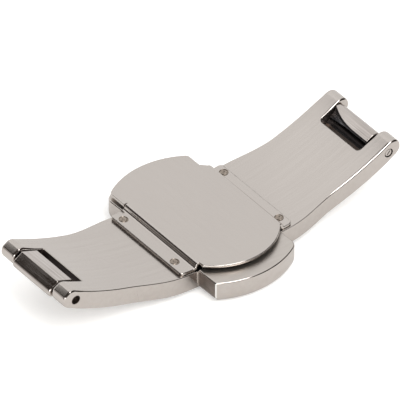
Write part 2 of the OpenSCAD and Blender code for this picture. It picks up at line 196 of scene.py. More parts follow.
# The parts of the wing's rounding that the ends of each knuckle and the plain edges get, and
# where along the arm the one grows into the other
KNUCKLE_SHARE = {"left": 1.0, "right": 0.4}
WING_LEAST = 0.3
KNUCKLE_GROWS = (-3.4, -2.8)
# The scoop ground into the right knuckle: its radius, how high its axis lies over the hinge pin,
# how far along the arm the axis lies at the near end, and how far it swings out at the far end
SCOOP_RADIUS, SCOOP_UP, SCOOP_ALONG, SCOOP_SWING = 1.6, 2.1, -2.12, 1.75
# The swing starts at this place across the arm, is full this much further, and grows this fast
SWING_START, SWING_SPAN, SWING_POWER = -1.5, 6.0, 2.5
SCOOP_PLACES = (-4.0, -1.5, -0.5, 0.3, 0.9, 1.5, 2.1, 2.6, 3.1, 3.6, 4.0)
SCOOP_SIDES = 60
# How far off the scoop's round a face still counts as its own
SCOOP_RIM = 0.03
# Edges round the scoop stay crisp up to here, along the arm and down, but for the crown: along
# and up from here at its near end, and along from here at its far end
SCOOP_ZONE = (0.3, -0.6)
CROWN_NEAR, CROWN_FAR = (-1.05, 0.9), 0.17
# The spring bar's place in X and Z, its hole, and the wing's play on the hinge pin
BAR = (7.4, 0.85)
BAR_HOLE = 0.33
WING_PLAY = 0.03
EAR_RADIUS = 0.8
FORK_HALF = 2.25
FORK_START, FORK_END = 1.1, 8.8

# Steel: how much its wide unevenness counts against its marks, the range in which their sum
# lies, and the unit for the height of the marks
CLOUD_PART = 0.5
MARK_RANGE = (0.5, 1.0)
MICRON = 1e-6


def linear(text):
    """The linear colour of an sRGB hex value."""
    values = [int(text[i : i + 2], 16) / 255 for i in (1, 3, 5)]
    return [v / 12.92 if v <= 0.04045 else ((v + 0.055) / 1.055) ** 2.4 for v in values]


# Outlines


def arc(centre, radius, start, end, steps):
    """Points of an arc between two angles in degrees, both ends included."""
    angles = [math.radians(start + (end - start) * i / steps) for i in range(steps + 1)]
    rays = [(math.cos(a), math.sin(a)) for a in angles]
    return [Vector((centre[0] + radius * ray[0], centre[1] + radius * ray[1])) for ray in rays]


def circle(centre, radius, sides=48):
    """Points all the way round, without the first one again."""
    return arc(centre, radius, 0, 360 * (sides - 1) / sides, sides - 1)


def arc_radius(half, bulge):
    """Radius of an arc from its half chord and its bulge."""
    return (half * half + bulge * bulge) / (2 * bulge)


def on_arm(along, up):
    """X and Z of a point measured from the right hinge pin, along the arm and square to it."""
    a = math.radians(HINGE_ANGLE)
    return Vector(
        (
            HINGE[0] + along * math.cos(a) - up * math.sin(a),
            HINGE[2] + along * math.sin(a) + up * math.cos(a),
        )
    )


def from_hinge(point):
    """Distances of a point from its nearer hinge pin: along the arm, and square to it."""
    a = math.radians(HINGE_ANGLE)
    out, up = abs(point[0]) - HINGE[0], point[2] - HINGE[2]
    return out * math.cos(a) + up * math.sin(a), up * math.cos(a) - out * math.sin(a)


def blend(value, low, high):
    """A smooth share of the way from low to high, never under 0 or over 1."""
    share = min(1.0, max(0.0, (value - low) / (high - low)))
    return share * share * (3 - 2 * share)


def arm_arc(deep, start, end, steps):
    """Points of the right arm, at a depth under its wrist face and between two angles."""
    return arc(ARM_CENTRE, ARM_RADIUS + deep, start - 90, end - 90, steps)


def wrist_height(x, deep=0.0):
    """Z of the bowed base plate at x, at a depth under its wrist face."""
    if abs(x) <= FLAT_HALF:
        return WRIST_FACE - deep
    return ARM_CENTRE[1] - math.sqrt((ARM_RADIUS + deep) ** 2 - (abs(x) - FLAT_HALF) ** 2)


def mirrored(points):
    """The same points on the other side of X = 0, in reverse order."""
    return [Vector((-p[0], p[1])) for p in reversed(points)]


# Solids


def loft(rings):
    """A closed solid through a row of rings of points, with a face on the first and the last."""
    bm = bmesh.new()
    rings = [[bm.verts.new(p) for p in ring] for ring in rings]
    bm.faces.new(rings[0])
    bm.faces.new(rings[-1])
    for low, high in zip(rings, rings[1:]):
        for i in range(len(low)):
            j = (i + 1) % len(low)
            bm.faces.new((low[i], low[j], high[j], high[i]))
    bmesh.ops.recalc_face_normals(bm, faces=bm.faces)
    return bm


def prism(outline, low, high, upright=False):
    """A closed solid: an outline in X and Z pushed along Y, or one in X and Y pushed along Z."""
    if upright:
        return loft([[(p[0], p[1], z) for p in outline] for z in (low, high)])
    return loft([[(p[0], y, p[1]) for p in outline] for y in (low, high)])


def made_of(bm, name):
    """A new object in the scene that holds a bmesh."""
    mesh = bpy.data.meshes.new(name)
    bm.to_mesh(mesh)
    bm.free()
    piece = bpy.data.objects.new(name, mesh)
    bpy.context.scene.collection.objects.link(piece)
    return piece


def settle(piece):
    """Turns a piece and its modifiers into a plain mesh."""
    bpy.context.view_layer.update()
    graph = bpy.context.evaluated_depsgraph_get()
    mesh = bpy.data.meshes.new_from_object(piece.evaluated_get(graph))
    piece.modifiers.clear()
    piece.data = mesh


def carve(piece, bm, operation="DIFFERENCE"):
    """Takes a solid away from a piece, keeps what they share, or joins them."""
    tool = made_of(bm, "tool")
    cut = piece.modifiers.new("cut", "BOOLEAN")
    cut.operation = operation
    cut.solver = "EXACT"
    cut.object = tool
    settle(piece)
    bpy.data.objects.remove(tool)


def soften(piece, width, share=None, bores=()):
    """Rounds the outward edges by a width in millimetres and shades the faces smooth.

    share may give, from the middle of an edge, the part of that width which it gets.
    The bores are cut after the rounding, so that their own edges stay crisp.
    """
    bm = bmesh.new()
    bm.from_mesh(piece.data)
    bmesh.ops.remove_doubles(bm, verts=bm.verts, dist=WELD)
    weight = bm.edges.layers.float.new("bevel_weight_edge")
    for edge in bm.edges:
        outward = len(edge.link_faces) == 2 and edge.is_convex
        if outward and edge.calc_face_angle() > math.radians(CREASE):
            middle = (edge.verts[0].co + edge.verts[1].co) / 2
            edge[weight] = share(middle) if share else 1.0
    bm.to_mesh(piece.data)
    bm.free()
    bevel = piece.modifiers.new("edges", "BEVEL")
    bevel.limit_method = "WEIGHT"
    bevel.width = width
    bevel.segments = EDGE_SEGMENTS
    bevel.use_clamp_overlap = False
    settle(piece)
    for bore in bores:
        carve(piece, bore)
    piece.data.shade_smooth()
    piece.data.set_sharp_from_angle(angle=math.radians(CREASE))
    piece.modifiers.new("normals", "WEIGHTED_NORMAL").keep_sharp = True
    settle(piece)


def hand_over(piece, body, slot, materials, *nodes):
    """Scales a finished piece to metres, gives it its materials and puts it on its body."""
    piece.data.transform(Matrix.Scale(MM, 4))
    for material in materials:
        piece.data.materials.append(material)
    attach(piece, body)
    if nodes:
        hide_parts(*nodes)


def paint(piece, index, chosen):
    """Gives a material slot to the faces that a test on centre and normal picks, in millimetres."""
    for face in piece.data.polygons:
        if chosen(face.center, face.normal):
            face.material_index = index


# Materials


def add(tree, kind, settings=(), inputs=()):
    """Adds a node with its settings, and sets or links its inputs."""
    made = tree.nodes.new(kind)
    for name, value in dict(settings).items():
        setattr(made, name, value)
    for socket, value in dict(inputs).items():
        if isinstance(value, bpy.types.NodeSocket):
            tree.links.new(value, made.inputs[socket])
        else:
            made.inputs[socket].default_value = value
    return made


def steel(name, light, dark, rough, streak, relief, cloud):
    """A bare steel surface from its own finish.

    light and dark are the colours between which its marks lie, and rough the range of its
    roughness. streak holds the size of one mark along X, Y and Z in millimetres, relief the
    height of the marks in micrometres and cloud the size in millimetres of the wide, faint
    unevenness that any worked surface has. The marks of a real belt, wheel or tool are a few
    hundredths of a millimetre wide, too fine to show: they are drawn as coarse as they need
    to be seen.
    """
    if name in bpy.data.materials:
        return bpy.data.materials[name]
    material = bpy.data.materials.new(name)
    material.use_nodes = True
    tree = material.node_tree
    shader = tree.nodes["Principled BSDF"]
    shader.inputs["Metallic"].default_value = 1.0
    place = add(tree, "ShaderNodeTexCoord").outputs["Object"]
    scale = [1 / (MM * size) for size in streak]
    across = add(tree, "ShaderNodeMapping", {}, {"Vector": place, "Scale": scale})
    marks = add(
        tree, "ShaderNodeTexNoise", {}, {"Vector": across.outputs[0], "Scale": 1.0, "Detail": 3.0}
    )
    wide = add(
        tree, "ShaderNodeTexNoise", {}, {"Vector": place, "Scale": 1 / (MM * cloud), "Detail": 1.0}
    )
    parts = {0: wide.outputs[0], 1: CLOUD_PART, 2: marks.outputs[0]}
    both = add(tree, "ShaderNodeMath", {"operation": "MULTIPLY_ADD"}, parts)
    limits = {"Value": both.outputs[0], "From Min": MARK_RANGE[0], "From Max": MARK_RANGE[1]}
    share = add(tree, "ShaderNodeMapRange", {}, limits).outputs[0]
    colours = {0: share, 6: linear(dark) + [1.0], 7: linear(light) + [1.0]}
    tint = add(tree, "ShaderNodeMix", {"data_type": "RGBA"}, colours)
    sheen = {"Value": share, "To Min": rough[1], "To Max": rough[0]}
    gloss = add(tree, "ShaderNodeMapRange", {}, sheen)
    height = {"Height": marks.outputs[0], "Strength": 1.0, "Distance": relief * MICRON}
    bump = add(tree, "ShaderNodeBump", {}, height)
    tree.links.new(tint.outputs[2], shader.inputs["Base Color"])
    tree.links.new(gloss.outputs[0], shader.inputs["Roughness"])
    tree.links.new(bump.outputs[0], shader.inputs["Normal"])
    return material


def brushed():
    """Stainless steel brushed lengthwise on a belt: fine streaks along it and a broad sheen."""
    return steel(
        "Brushed stainless steel", "#C8C1BB", "#C4BDB7", (0.2, 0.24), (9.0, 0.3, 9.0), 0.03, 7.0
    )


def satin():
    """Stainless sheet with a fine satin: nearly even, with very faint marks."""
    return steel(
        "Satin stainless sheet", "#C7C0BA", "#C5BEB8", (0.14, 0.18), (0.3, 4.0, 4.0), 0.07, 6.0
    )


def polished():
    """Polished stainless steel: clear reflections that only wide soft waves disturb."""
    return steel(
        "Polished stainless steel", "#CAC3BE", "#C4BCB6", (0.09, 0.14), (0.6, 0.6, 0.6), 0.6, 4.0
    )


def painted_highlight():
    """Near-white steel for a painted highlight along an edge, the lightest line on the piece."""
    return steel(
        "Steel with painted highlight", "#FBF9F7", "#F2EFEC", (0.1, 0.16), (1.0, 1.0, 1.0), 0.3, 3.0
    )


def grained():
    """Stainless steel with a dull grain across it, as left on a face that lies under a plate."""
    return steel(
        "Grained stainless steel", "#C9C2BC", "#C1BAB3", (0.3, 0.38), (3.0, 0.4, 3.0), 0.3, 5.0
    )


def drawn():
    """Stainless bar drawn through a die: bright, with soft streaks along its length."""
    return steel(
        "Drawn stainless bar", "#CAC3BE", "#B5ADA7", (0.08, 0.2), (0.16, 7.0, 0.16), 0.35, 3.0
    )


def painted_hollow_shade():
    """Dark grey, softly streaked steel for the painted shade and dark reflection in the hollows."""
    return steel(
        "Steel with painted hollow shade", "#77777A", "#4C4C4F", (0.16, 0.3), (0.14, 5.0, 0.14), 0.6, 1.6
    )


def painted_shade():
    """Dark brownish steel for painted shade in recesses, bores, gaps and on walls away from light.
    """
    return steel(
        "Steel with painted shade", "#8A7F78", "#6A605A", (0.3, 0.42), (0.12, 1.2, 0.12), 0.5, 1.2
    )


def turned():
    """Turned stainless steel: rings left by the tool round a pin or a head, a shade darker."""
    return steel(
        "Turned stainless steel", "#B0A59A", "#85796E", (0.22, 0.34), (0.4, 0.05, 0.4), 0.8, 0.6
    )


def spring():
    """Bare spring steel: drawn wire and rolled strip, darker and duller than the rest."""
    return steel(
        "Spring steel", "#A9A49C", "#8F897F", (0.28, 0.4), (0.08, 0.5, 0.5), 0.8, 1.5
    )


# Settings


class ClaspSizes(bpy.types.PropertyGroup):
    plate_edge: FloatProperty(
        name="Plate edge",
        description="Width of the rounding round the prong ends; the other edges get part of it",
        default=0.3 * MM,
        unit="LENGTH",
        precision=5,
    )
    sheet_edge: FloatProperty(
        name="Sheet edge",
        description="Width of the rounding on the near edges of the inner plate; the rest get half",
        default=0.13 * MM,
        unit="LENGTH",
        precision=5,
    )
    cover_edge: FloatProperty(
        name="Cover edge",
        description="Width of the rounding on the edges of the outer cover",
        default=0.19 * MM,
        unit="LENGTH",
        precision=5,
    )
    cover_corner: FloatProperty(
        name="Cover corner",
        description="Radius of the two rounder upright corners of the outer cover",
        default=1.4 * MM,
        unit="LENGTH",
        precision=5,
    )
    wing_edge: FloatProperty(
        name="Wing edge",
        description="Width of the rounding on the ends of the knuckles; the rest get part of it",
        default=0.24 * MM,
        unit="LENGTH",
        precision=5,
    )
    pin_slot: FloatProperty(
        name="Pin slot",
        description="Width of the slot in the end of each hinge pin",
        default=0.14 * MM,
        unit="LENGTH",
        precision=5,
    )
    rivet_head: FloatProperty(
        name="Rivet head",
        description="Diameter of the rivets that hold the inner plate",
        default=1.15 * MM,
        unit="LENGTH",
        precision=5,
    )
    arm_steps: IntProperty(
        name="Arm steps",
        description="Number of faces along each curved arm",
        default=44,
        min=12,
    )


class ClaspColours(bpy.types.PropertyGroup):
    floor: FloatVectorProperty(
        name="Floor",
        description="Colour of the floor under the clasp",
        default=linear("#F1F0EE"),
        subtype="COLOR",
        min=0,
        max=1,
    )
    surround: FloatVectorProperty(
        name="Surround",
        description="Colour of the light studio walls that the steel reflects",
        default=(1.0, 1.0, 1.0),
        subtype="COLOR",
        min=0,
        max=1,
    )
    gap: FloatVectorProperty(
        name="Gap",
        description="Colour of the unlit part of the studio, low beside the clasp",
        default=linear("#38322E"),
        subtype="COLOR",
        min=0,
        max=1,
    )


def sizes():
    """The sizes of the sidebar, in millimetres where they are lengths."""
    group = bpy.context.scene.clasp_sizes
    return {
        name: getattr(group, name) / (1 if name == "arm_steps" else MM)
        for name in ClaspSizes.__annotations__
    }


# Pieces


def arm_outline(steps):
    """Outline in X and Z of the whole bowed plate, with its two round ends."""
    end = HINGE_ANGLE + math.degrees(END_CENTRE / MID_RADIUS)
    centre = ARM_CENTRE + MID_RADIUS * Vector(
        (math.sin(math.radians(end)), -math.cos(math.radians(end)))
    )
    halves = {}
    for name in SIDES:
        high, low = FRONT_FACE.get(name, (0.0, 0.0))
        upper = arc(centre, END_ROUND, end + 90, end + high, steps=14)
        lower = arc(centre, END_ROUND, end + low, end - 90, steps=18)
        round_end = upper[1:] + lower[0 if name in FRONT_FACE else 1 : -1]
        outer = list(reversed(arm_arc(PLATE_THICK, 0, end, steps)))
        halves[name] = arm_arc(0, 0, end, steps) + round_end + outer
    return halves["right"] + mirrored(halves["left"])


def waist_outline(steps):
    """Outline in X and Y of the base plate: straight arms that widen smoothly to the waist."""
    flare = [Vector((WAIST_END, ARM_HALF))]
    for i in range(steps + 1):
        x = FLARE_START + (FLARE_END - FLARE_START) * i / steps
        wider = (WAIST_HALF - ARM_HALF) * blend(x, FLARE_START, FLARE_END)
        flare.append(Vector((x, ARM_HALF + wider)))
    far = flare + mirrored(flare)
    return far + [Vector((-p[0], -p[1])) for p in far]


def plate_share(middle):
    """Part of the plate's rounding that an edge gets: all of it round the prong ends."""
    along, up = from_hinge(middle)
    least = PLATE_LEAST
    if middle.x > 0 and middle.y < -(NOTCH_HALF + ARM_HALF) / 2 and up > 0:
        least += (1 - PLATE_LEAST) * blend(middle.x, *NEAR_EDGE_GROWS)
    return least + (1 - least) * blend(along, *PRONG_GROWS)


class CLASP_OT_base_plate(bpy.types.Operator):
    """Base plate: two curved arms with brushed wrist faces, a groove under them and forked ends"""

    bl_idname = "clasp.base_plate"
    bl_label = "Base plate"

    def execute(self, context):
        size = sizes()
        steps = int(size["arm_steps"])
        piece = made_of(prism(arm_outline(steps), -PLATE_CUT, PLATE_CUT), "base_plate_shell")
        waist = prism(waist_outline(steps=24), *WAIST_HEIGHTS, upright=True)
        carve(piece, waist, "INTERSECT")
        groove_end = HINGE_ANGLE - math.degrees((NOTCH_REACH - GROOVE_OVERLAP) / MID_RADIUS)
        groove = arm_arc(WEB_THICK, 0, groove_end, steps)
        groove += reversed(arm_arc(PLATE_THICK + GROOVE_OPEN, 0, groove_end, steps))
        carve(piece, prism(groove + mirrored(groove), -GROOVE_HALF, GROOVE_HALF))
        bores = []
        for name, side in SIDES.items():
            radius = NOTCH_CORNER[name]
            plan = [Vector((NOTCH_OUT, -NOTCH_HALF)), Vector((NOTCH_OUT, NOTCH_HALF))]
            for y, start in ((NOTCH_HALF - radius, 90), (radius - NOTCH_HALF, 180)):
                plan += arc((radius - NOTCH_REACH, y), radius, start, start + 90, steps=8)
            plan = [Vector((side * p[0], p[1])) for p in plan]
            notch = prism(plan, -NOTCH_HEIGHT, NOTCH_HEIGHT, upright=True)
            lean = Matrix.Rotation(-side * math.radians(HINGE_ANGLE), 4, "Y")
            notch.transform(Matrix.Translation((side * HINGE[0], 0, HINGE[2])) @ lean)
            carve(piece, notch)
            hole = circle((side * HINGE[0], HINGE[2]), PIN_RADIUS + HAIR)
            bores.append(prism(hole, -PLATE_CUT, PLATE_CUT))
        soften(piece, size["plate_edge"], plate_share, bores)

        # The notch walls and the bores that this picks get painted shade
        def recess(centre, normal):
            along, up = from_hinge(centre)
            corners = max(NOTCH_CORNER.values())
            wall = abs(centre.y) < NOTCH_HALF and along < WALL_REACH - NOTCH_REACH + corners
            within = math.hypot(along, up) < PIN_RADIUS + BORE_REACH
            bore = abs(centre.y) < ARM_HALF - BORE_LIP and within
            return bore or (wall and abs(up) < END_ROUND and normal.z < LEVEL)

        paint(piece, 1, lambda centre, normal: abs(normal.y) > SIDEWAYS or normal.z < STEEP)
        paint(piece, 2, recess)
        hand_over(piece, "base", "brushed_steel", [brushed(), polished(), painted_shade()], "base_plate")
        return {"FINISHED"}


def bend_paths(name):
    """Upper and lower side, in X and Z, of the sheet from its bend to the end of the flange."""
    tangent = PLATE_HALF[name] - BEND
    foot = FOOT[name]
    drop = PLATE_TOP - wrist_height(PLATE_HALF[name] + foot, -SHEET)
    turn = math.degrees(math.acos(1 - drop / (BEND + foot)))
    centre = Vector((tangent, PLATE_TOP - BEND))
    way = Vector((math.sin(math.radians(turn)), math.cos(math.radians(turn))))
    lower = centre + (BEND + foot) * way
    outside, inside = (
        arc(centre, BEND - less, 90, 90 - turn, BEND_STEPS)
        + arc(lower, foot + less, 270 - turn, 270, FOOT_STEPS)
        for less in (0.0, SHEET)
    )
    start = outside[-1][0] + FLANGE_START
    for i in range(FLANGE_STEPS + 1):
        x = start + (FLANGE_REACH - start) * math.sin(math.radians(90 * i / FLANGE_STEPS))
        outside.append(Vector((x, wrist_height(x, -SHEET))))
        inside.append(Vector((x, wrist_height(x))))
    return outside, inside


def flange_ends(name, x):
    """Near and far end of a flange at x, drawn in at its rounded corners."""
    into = max(0.0, x - (FLANGE_REACH - FLANGE_CORNER))
    less = FLANGE_CORNER - math.sqrt(FLANGE_CORNER**2 - into**2)
    wide, start, end = SHOULDER[name]
    shoulder = wide * (1 - blend(x, start, end))
    return FLANGE_NEAR + less, FLANGE_FAR + shoulder - less


def plate_outline(tangents):
    """Outline in X and Y of the flat sheet, whose sides stop at the bends of the flanges."""
    left, right = tangents["left"], tangents["right"]
    near = arc_radius(PLATE_HALF["left"] + NEAR_SHIFT, NEAR_BULGE)
    near_centre = near - NEAR_CORNER - NEAR_BULGE
    reaches = (left + NEAR_SHIFT, right - NEAR_SHIFT)
    near_turns = [math.degrees(math.asin(reach / near)) for reach in reaches]
    far = arc_radius(FAR_HALF["left"], FAR_BULGE)
    middle = FAR_CORNER + FAR_BULGE - far
    left_end, right_end = (flange_ends(name, tangents[name])[1] for name in SIDES)
    corners = []
    for name in SIDES:
        fillet = FAR_HALF[name] - FAR_ROUND
        turn = math.degrees(math.acos(fillet / (far - FAR_ROUND)))
        corners.append((fillet, middle + math.sqrt((far - FAR_ROUND) ** 2 - fillet**2), turn))
    (left_fillet, left_up, left_turn), (right_fillet, right_up, right_turn) = corners
    outline = [(right, FLANGE_NEAR), (right, right_end), (FAR_HALF["right"], right_end + FAR_SLANT)]
    outline += arc((right_fillet, right_up), FAR_ROUND, 0, right_turn, steps=6)[:-1]
    outline += arc((0, middle), far, right_turn, 180 - left_turn, steps=40)
    outline += arc((-left_fillet, left_up), FAR_ROUND, 180 - left_turn, 180, steps=6)[1:]
    outline += [(-FAR_HALF["left"], left_end + RELIEF), (-left, left_end + RELIEF)]
    outline += [(-left, left_end), (-left, FLANGE_NEAR)]
    start, end = 270 - near_turns[0], 270 + near_turns[1]
    return outline + arc((NEAR_SHIFT, near_centre), near, start, end, steps=48)


class CLASP_OT_inner_plate(bpy.types.Operator):
    """Inner plate: a satin steel sheet, bent down at both sides to two riveted flanges"""

    bl_idname = "clasp.inner_plate"
    bl_label = "Inner plate"

    def execute(self, context):
        tangents = {}
        bm = bmesh.new()
        for name, side in SIDES.items():
            outside, inside = bend_paths(name)
            tangents[name] = outside[0][0]
            ends = [flange_ends(name, p[0]) for p in outside]
            rows = []
            for path in (outside, inside):
                spans = [[(side * p[0], y, p[1]) for y in pair] for p, pair in zip(path, ends)]
                rows.append([[bm.verts.new(corner) for corner in span] for span in spans])
            top, under = rows
            for i in range(len(top) - 1):
                bm.faces.new((top[i][0], top[i + 1][0], top[i + 1][1], top[i][1]))
                bm.faces.new((under[i][0], under[i + 1][0], under[i + 1][1], under[i][1]))
                for k in (0, 1):
                    bm.faces.new((top[i][k], top[i + 1][k], under[i + 1][k], under[i][k]))
            bm.faces.new((top[-1][0], top[-1][1], under[-1][1], under[-1][0]))
        plan = plate_outline(tangents)
        heights = (PLATE_TOP, PLATE_TOP - SHEET)
        rings = [[bm.verts.new((p[0], p[1], z)) for p in plan] for z in heights]
        for ring in rings:
            bm.faces.new(ring)
        for i in range(len(plan)):
            j = (i + 1) % len(plan)
            bent = plan[i][0] == plan[j][0] and plan[i][1] * plan[j][1] < 0
            if not bent:
                bm.faces.new((rings[0][i], rings[0][j], rings[1][j], rings[1][i]))
        bmesh.ops.remove_doubles(bm, verts=bm.verts, dist=WELD)
        bmesh.ops.recalc_face_normals(bm, faces=bm.faces)
        piece = made_of(bm, "inner_plate_sheet")

        def share(middle):
            return 1.0 if middle.y < FLANGE_NEAR + SHEET_NEAR else SHEET_LEAST

        soften(piece, sizes()["sheet_edge"], share)
        hand_over(piece, "base", "satin_steel", [satin()], "inner_plate")
        return {"FINISHED"}


def rivet_tree():
    """Geometry Nodes that set one rivet on every point, leaning as the point says."""
    tree = bpy.data.node_groups.new("rivets_on_flanges", "GeometryNodeTree")
    for name, kind in (
        ("Geometry", "NodeSocketGeometry"),
        ("Rivet", "NodeSocketObject"),
        ("Head Diameter", "NodeSocketFloat"),
        ("Finish", "NodeSocketMaterial"),
    ):
        tree.interface.new_socket(name, in_out="INPUT", socket_type=kind)
    tree.interface.new_socket("Geometry", in_out="OUTPUT", socket_type="NodeSocketGeometry")
    given = add(tree, "NodeGroupInput").outputs
    rivet = add(
        tree, "GeometryNodeObjectInfo", {}, {"Object": given["Rivet"], "As Instance": True}
    )
    lean = add(
        tree, "GeometryNodeInputNamedAttribute", {"data_type": "FLOAT_VECTOR"}, {"Name": "lean"}
    )
    turn = add(tree, "FunctionNodeEulerToRotation", {}, {0: lean.outputs[0]})
    placed = add(
        tree,
        "GeometryNodeInstanceOnPoints",
        {},
        {
            "Points": given["Geometry"],
            "Instance": rivet.outputs["Geometry"],
            "Rotation": turn.outputs[0],
            "Scale": given["Head Diameter"],
        },
    )
    real = add(tree, "GeometryNodeRealizeInstances", {}, {0: placed.outputs[0]})
    faced = {"Geometry": real.outputs[0], "Material": given["Finish"]}
    finish = add(tree, "GeometryNodeSetMaterial", {}, faced)
    add(tree, "NodeGroupOutput", {}, {0: finish.outputs[0]})
    return tree


def lathe(profile, steps=32):
    """A solid turned about Z from radius and height pairs that start and end on the axis."""
    bm = bmesh.new()
    rings = []
    for radius, height in profile:
        if radius == 0:
            rings.append([bm.verts.new((0, 0, height))] * steps)
            continue
        turn = [2 * math.pi * i / steps for i in range(steps)]
        rings.append(
            [bm.verts.new((radius * math.cos(a), radius * math.sin(a), height)) for a in turn]
        )
    for low, high in zip(rings, rings[1:]):
        for i in range(steps):
            j = (i + 1) % steps
            corners = dict.fromkeys((low[i], low[j], high[j], high[i]))
            bm.faces.new(list(corners))
    bmesh.ops.recalc_face_normals(bm, faces=bm.faces)
    return bm


class CLASP_OT_rivets(bpy.types.Operator):
    """Rivets: four low heads with a punched centre, on the flanges of the inner plate"""

    bl_idname = "clasp.rivets"
    bl_label = "Rivets"

    def execute(self, context):
        rivet = made_of(lathe(RIVET_PROFILE), "rivet")
        bm = bmesh.new()
        for x, y in RIVETS:
            bm.verts.new((x, y, wrist_height(x, -SHEET)))
        piece = made_of(bm, "flange_rivets")
        lean = piece.data.attributes.new("lean", "FLOAT_VECTOR", "POINT")
        for row, (x, _) in zip(lean.data, RIVETS):
            tilt = math.asin((abs(x) - FLAT_HALF) / ARM_RADIUS)
            row.vector = (0, -math.copysign(tilt, x), 0)
        setter = piece.modifiers.new("rivets", "NODES")
        setter.node_group = rivet_tree()
        values = {"Rivet": rivet, "Head Diameter": sizes()["rivet_head"], "Finish": turned()}
        for socket in setter.node_group.interface.items_tree:
            if socket.in_out == "INPUT" and socket.name in values:
                setter[socket.identifier] = values[socket.name]
        settle(piece)
        bpy.data.objects.remove(rivet)
        piece.data.shade_smooth()
        piece.data.set_sharp_from_angle(angle=math.radians(RIVET_CREASE))
        hand_over(piece, "base", "turned_steel", [], "inner_plate_rivets")
        return {"FINISHED"}


def cover_ring(inset, rounder):
    """Outline in X and Y of the outer cover, drawn in by an inset all round."""
    radius = arc_radius(COVER_HALF, COVER_BULGE)
    middle = COVER_CORNER + COVER_BULGE - radius
    half = COVER_HALF - inset
    big = radius - inset
    corners = []
    turns = []
    for full in (CRISP_CORNER, rounder):
        corner = full * (1 - inset / (2 * COVER_ROUND))
        fillet = (half - corner, middle + math.sqrt((big - corner) ** 2 - (half - corner) ** 2))
        turns.append(math.degrees(math.atan2(fillet[1] - middle, fillet[0])))
        corners.append(arc(fillet, corner, 0, turns[-1], steps=6)[:-1])
    arch = arc((0, middle), big, turns[0], 180 - turns[1], steps=48)
    far = corners[0] + arch + mirrored(corners[1])
    askew = Matrix.Rotation(math.radians(COVER_TURN), 2)
    return [askew @ (sign * p) for sign in (1, -1) for p in far]


class CLASP_OT_outer_cover(bpy.types.Operator):
    """Outer cover: a polished barrel with a round lower edge and a lobe at each side"""

    bl_idname = "clasp.outer_cover"
    bl_label = "Outer cover"

    def execute(self, context):
        size = sizes()
        levels = []
        for i in range(COVER_LEVELS + 1):
            a = math.radians(90 - 90 * i / COVER_LEVELS)
            levels.append((COVER_ROUND * (1 - math.cos(a)), COVER_ROUND * (1 - math.sin(a))))
        levels.append((0, COVER_TOP))
        rounder = size["cover_corner"]
        rings = [[(p[0], p[1], z) for p in cover_ring(inset, rounder)] for inset, z in levels]
        piece = made_of(loft(rings), "cover_shell")

        # The faces round the two crisp upright corners get a painted highlight
        def highlighted_corner(centre, normal):
            leans = min(abs(normal.x), abs(normal.y)) > HIGHLIGHT_LEAN and abs(normal.z) < STEEP
            return leans and abs(centre.x) > COVER_HALF - HIGHLIGHT_ZONE and centre.x * centre.y > 0

        channel = [(x, FLOOR_THICK) for x in (-CHANNEL_END, CHANNEL_END)]
        channel += [(x, CHANNEL_TOP) for x in (CHANNEL_END, -CHANNEL_END)]
        carve(piece, prism(channel, -WAIST_HALF - HAIR, WAIST_HALF + HAIR))
        soften(piece, size["cover_edge"])
        paint(piece, 1, lambda centre, normal: normal.z > FACING)
        # The near lobe's two side walls get painted shade
        paint(piece, 2, lambda centre, normal: abs(normal.x) > FACING and centre.y < 0)
        # Painted highlight on the two crisp upright corners
        paint(piece, 3, highlighted_corner)
        finishes = [polished(), grained(), painted_shade(), painted_highlight()]
        hand_over(piece, "base", "polished_steel", finishes, "outer_cover")
        return {"FINISHED"}


def over_roundings(roundings, degrees=7):
    """Points of the line that runs clockwise over a row of circles and the flat sides between.

    A face on a circle takes about as many degrees.
    """
    turns = [180.0]
    for a, b in zip(roundings, roundings[1:]):
        step = Vector((b[0] - a[0], b[1] - a[1]))
        lean = math.acos((a[2] - b[2]) / step.length)
        turns.append(math.degrees(math.atan2(step.y, step.x) + lean))
    turns.append(-90.0)
    points = []
    for (x, y, radius), start, end in zip(roundings, turns, turns[1:]):
        points += arc((x, y), radius, start, end, max(3, round((start - end) / degrees)))
    return points


def wing_outline(roundings):
    """Outline in X and Z of the right wing, from its end under the cover to its knuckle."""
    skin = END_ROUND - WING_TOP
    wall = roundings[0][0] - roundings[0][2]
    start = math.degrees(math.asin((WING_END - FLAT_HALF) / (ARM_RADIUS + WING_TOP)))
    lower = math.degrees(math.asin((WING_END - FLAT_HALF) / OUTER_RADIUS))
    stop = HINGE_ANGLE - math.degrees((HOLLOW - wall + RAMP_LONG) / MID_RADIUS)
    knuckle = [(wall - HOLLOW - RAMP_LONG, skin - RAMP_DEEP)]
    knuckle += arc((wall - HOLLOW, skin + HOLLOW), HOLLOW, 270, 360, steps=10)
    knuckle += over_roundings(roundings)
    outline = arm_arc(WING_TOP + RAMP_DEEP, start, stop, steps=30)[:-1]
    outline += [on_arm(*p) for p in knuckle]
    return outline + list(reversed(arm_arc(PLATE_THICK, lower, HINGE_ANGLE, steps=32)))


def scoop_axis(y):
    """How far along the arm the axis of the scoop lies at one place across it."""
    swing = (max(0.0, y - SWING_START) / SWING_SPAN) ** SWING_POWER
    return SCOOP_ALONG + SCOOP_SWING * swing


def scoop():
    """The round cutter that takes the scoop out of the right knuckle, its far end swung out."""
    rings = []
    for y in SCOOP_PLACES:
        ring = circle((scoop_axis(y), SCOOP_UP), SCOOP_RADIUS, SCOOP_SIDES)
        rings.append([(x, y, z) for x, z in (on_arm(*p) for p in ring)])
    return loft(rings)


def knuckle_share(name, middle):
    """Part of the wing's rounding that an edge gets; the ground recess keeps its crisp edges."""
    along, up = from_hinge(middle)
    if name == "right" and KNUCKLE_GROWS[0] < along < SCOOP_ZONE[0] and up > SCOOP_ZONE[1]:
        near_crown = along > CROWN_NEAR[0] and up > CROWN_NEAR[1]
        crown = near_crown if middle.y < 0 else along > CROWN_FAR
        if not crown or abs(middle.y) < WING_HALF - HAIR:
            return 0.0
    return WING_LEAST + (KNUCKLE_SHARE[name] - WING_LEAST) * blend(along, *KNUCKLE_GROWS)


